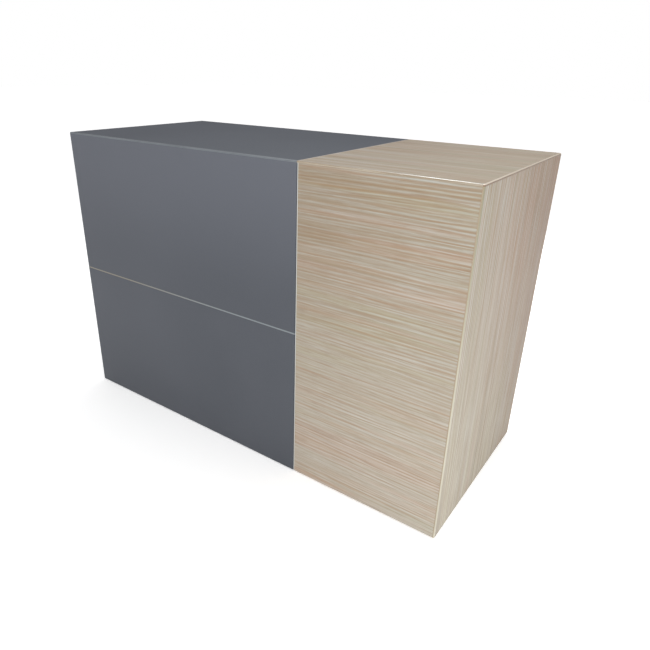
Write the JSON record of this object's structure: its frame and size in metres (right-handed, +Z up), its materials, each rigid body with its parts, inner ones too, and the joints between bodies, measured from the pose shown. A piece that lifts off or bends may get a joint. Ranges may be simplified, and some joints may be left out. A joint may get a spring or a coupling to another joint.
{
  "type": "shop counter",
  "caption": "Free-standing shop counter of a grey box and a wood box, with shelves, a lockable drawer and a lockable cupboard on the staff side.",
  "frame": {"origin": "on the floor, in the middle of the counter's footprint", "axes": "+X along the customer front to the wood box, +Y from the customer side to the staff side, +Z up"},
  "size_m": [1.5, 0.65, 1],
  "materials": {
    "grey_laminate": "satin blue-grey laminate on board",
    "wood_laminate": "matt pale wood-grain laminate on board",
    "drawer_white": "white melamine on board",
    "grey_edging": "satin grey edging",
    "wood_edging": "satin cream edging",
    "aluminium_strip": "brushed anodised",
    "beech": "plain beech",
    "zinc": "zinc plated",
    "runner_coat": "white epoxy coat",
    "hinge_steel": "nickel plated",
    "handle_metal": "satin anodised",
    "lock_chrome": "bright nickel plated",
    "roller_nylon": "white nylon",
    "glide_plastic": "black nylon"
  },
  "bodies": {
    "counter_body": {"grey_left_end_panel": "grey_laminate", "grey_top_panel": "grey_laminate", "grey_upper_front_panel": "grey_laminate", "grey_lower_front_panel": "grey_laminate", "grey_front_strip": "aluminium_strip", "grey_corner_strips": "grey_edging", "grey_right_side_panel": "grey_laminate", "grey_centre_partition": "grey_laminate", "grey_bottom_panel": "grey_laminate", "grey_rear_plinth": "grey_laminate", "grey_lower_shelf": "grey_laminate", "grey_upper_shelf": "grey_laminate", "drawer_bay_shelf": "grey_laminate", "drawer_top_rail": "grey_laminate", "wood_right_end_panel": "wood_laminate", "wood_top_panel": "wood_laminate", "wood_front_panel": "wood_laminate", "wood_corner_strips": "wood_edging", "wood_left_side_panel": "wood_laminate", "wood_bottom_panel": "wood_laminate", "wood_rear_plinth": "wood_laminate", "wood_shelf": "wood_laminate", "dowels_and_biscuits": "beech", "cam_fittings": "zinc", "box_joining_bolts": "zinc", "floor_glides": "glide_plastic", "shelf_supports": "zinc", "carcass_screws": "zinc", "runner_cabinet_rails": "runner_coat", "runner_cabinet_axles": "zinc", "hinge_panel_leaves": "hinge_steel", "hinge_pins": "hinge_steel", "lock_strikes": "zinc"},
    "drawer": {"drawer_face": "grey_laminate", "drawer_left_side": "drawer_white", "drawer_right_side": "drawer_white", "drawer_back": "drawer_white", "drawer_bottom": "drawer_white", "drawer_dowels": "beech", "drawer_screws": "zinc", "drawer_handle": "handle_metal", "runner_drawer_rails": "runner_coat", "runner_drawer_axles": "zinc", "drawer_lock_body": "lock_chrome", "drawer_lock_nut": "lock_chrome"},
    "door": {"wood_door": "wood_laminate", "hinge_door_leaves": "hinge_steel", "door_screws": "zinc", "door_handle": "handle_metal", "door_lock_body": "lock_chrome", "door_lock_nut": "lock_chrome"},
    "drawer_lock": {"drawer_lock_plug": "lock_chrome", "drawer_lock_cam": "zinc"},
    "door_lock": {"door_lock_plug": "lock_chrome", "door_lock_cam": "zinc"},
    "cabinet_roller_left": {"cabinet_roller_left": "roller_nylon"},
    "cabinet_roller_right": {"cabinet_roller_right": "roller_nylon"},
    "drawer_roller_left": {"drawer_roller_left": "roller_nylon"},
    "drawer_roller_right": {"drawer_roller_right": "roller_nylon"}
  },
  "joints": [
    {"name": "drawer_slide", "type": "slide", "parent": "counter_body", "child": "drawer", "axis": [0, 1, 0], "range_m": [0, 0.3]},
    {"name": "door_swing", "type": "hinge", "parent": "counter_body", "child": "door", "pos_m": [0.7282, 0.294, 0.53], "axis": [0, 0, -1], "range_deg": [0, 100]},
    {"name": "drawer_lock_turn", "type": "hinge", "parent": "drawer", "child": "drawer_lock", "pos_m": [0.009, 0.29, 0.917], "axis": [0, -1, 0], "range_deg": [0, 90]},
    {"name": "door_lock_turn", "type": "hinge", "parent": "door", "child": "door_lock", "pos_m": [0.305, 0.29, 0.6], "axis": [0, 1, 0], "range_deg": [0, 90]},
    {"name": "cabinet_roller_left_roll", "type": "hinge", "parent": "counter_body", "child": "cabinet_roller_left", "pos_m": [-0.209, 0.258, 0.8113], "axis": [-1, 0, 0], "range_deg": [0, 2150]},
    {"name": "cabinet_roller_right_roll", "type": "hinge", "parent": "counter_body", "child": "cabinet_roller_right", "pos_m": [0.227, 0.258, 0.8113], "axis": [-1, 0, 0], "range_deg": [0, 2150]},
    {"name": "drawer_roller_left_roll", "type": "hinge", "parent": "drawer", "child": "drawer_roller_left", "pos_m": [-0.2065, -0.114, 0.8095], "axis": [-1, 0, 0], "range_deg": [0, 2150]},
    {"name": "drawer_roller_right_roll", "type": "hinge", "parent": "drawer", "child": "drawer_roller_right", "pos_m": [0.2245, -0.114, 0.8095], "axis": [-1, 0, 0], "range_deg": [0, 2150]}
  ],
  "couplings": [
    {"joint": "cabinet_roller_left_roll", "follows": "drawer_slide", "rad_per_m": 125},
    {"joint": "cabinet_roller_right_roll", "follows": "drawer_slide", "rad_per_m": 125},
    {"joint": "drawer_roller_left_roll", "follows": "drawer_slide", "rad_per_m": 125},
    {"joint": "drawer_roller_right_roll", "follows": "drawer_slide", "rad_per_m": 125}
  ]
}
